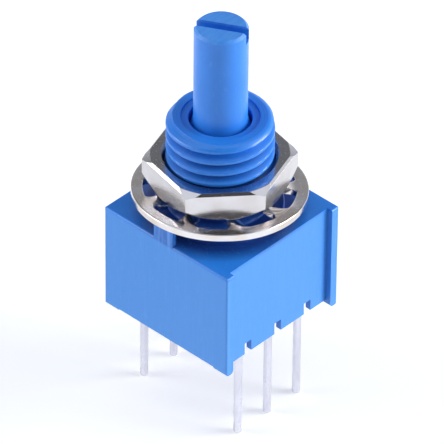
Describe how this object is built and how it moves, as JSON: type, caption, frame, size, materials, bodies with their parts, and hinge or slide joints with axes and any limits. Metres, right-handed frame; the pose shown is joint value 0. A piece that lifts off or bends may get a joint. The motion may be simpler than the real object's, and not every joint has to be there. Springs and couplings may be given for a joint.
{
  "type": "panel_mount_potentiometer",
  "caption": "Sealed square panel mount potentiometer with threaded bushing, slotted plain shaft, hex nut, internal-tooth lock washer and two rows of board pins.",
  "frame": {"origin": "on the shaft's axis, in the plane of the round shoulder that bears on the back of the panel", "axes": "+Z along the shaft to its slotted end; -Y towards the terminals; -X towards the locating lug"},
  "size_m": [0.0104, 0.0104, 0.0265],
  "materials": {
    "blue_plastic": "smooth glass-filled moulding with a soft sheen",
    "nickel_plate": "nickel-plated, bright with slight tooling marks",
    "tinned_wire": "bright hot-tinned copper",
    "black_rubber": "smooth moulded",
    "alumina": "fired, matt",
    "cermet": "fired resistive print, matt",
    "silver_print": "fired silver conductor, satin",
    "contact_alloy": "stamped precious-metal spring alloy, bright",
    "black_plastic": "moulded, matt",
    "blue_resin": "poured epoxy, glossy with a slight meniscus"
  },
  "bodies": {
    "case": {"housing": "blue_plastic", "seal_ring": "black_rubber", "ceramic_plate": "alumina", "resistive_track": "cermet", "collector_track": "silver_print", "end_contact_1": "silver_print", "end_contact_3": "silver_print", "terminal_1": "tinned_wire", "terminal_2": "tinned_wire", "terminal_3": "tinned_wire", "solder_1": "tinned_wire", "solder_2": "tinned_wire", "solder_3": "tinned_wire", "support_pin_1": "tinned_wire", "support_pin_2": "tinned_wire", "support_pin_3": "tinned_wire", "pin_carrier": "black_plastic", "sealing_resin": "blue_resin"},
    "rotor": {"shaft": "blue_plastic", "wiper": "contact_alloy"},
    "washer": {"lock_washer": "nickel_plate"},
    "nut": {"mounting_nut": "nickel_plate"}
  },
  "joints": [
    {"name": "shaft_turn", "type": "hinge", "parent": "case", "child": "rotor", "pos_m": [0, 0, 0], "axis": [0, 0, 1], "range_deg": [-150, 150]},
    {"name": "washer_lift", "type": "slide", "parent": "case", "child": "washer", "axis": [0, 0, 1], "range_m": [0, 0.00317]},
    {"name": "nut_turn", "type": "hinge", "parent": "washer", "child": "nut", "pos_m": [0, 0, 0], "axis": [0, 0, 1], "range_deg": [0, 1440]}
  ],
  "couplings": [
    {"joint": "nut_turn", "follows": "washer_lift", "rad_per_m": 7915.8}
  ]
}
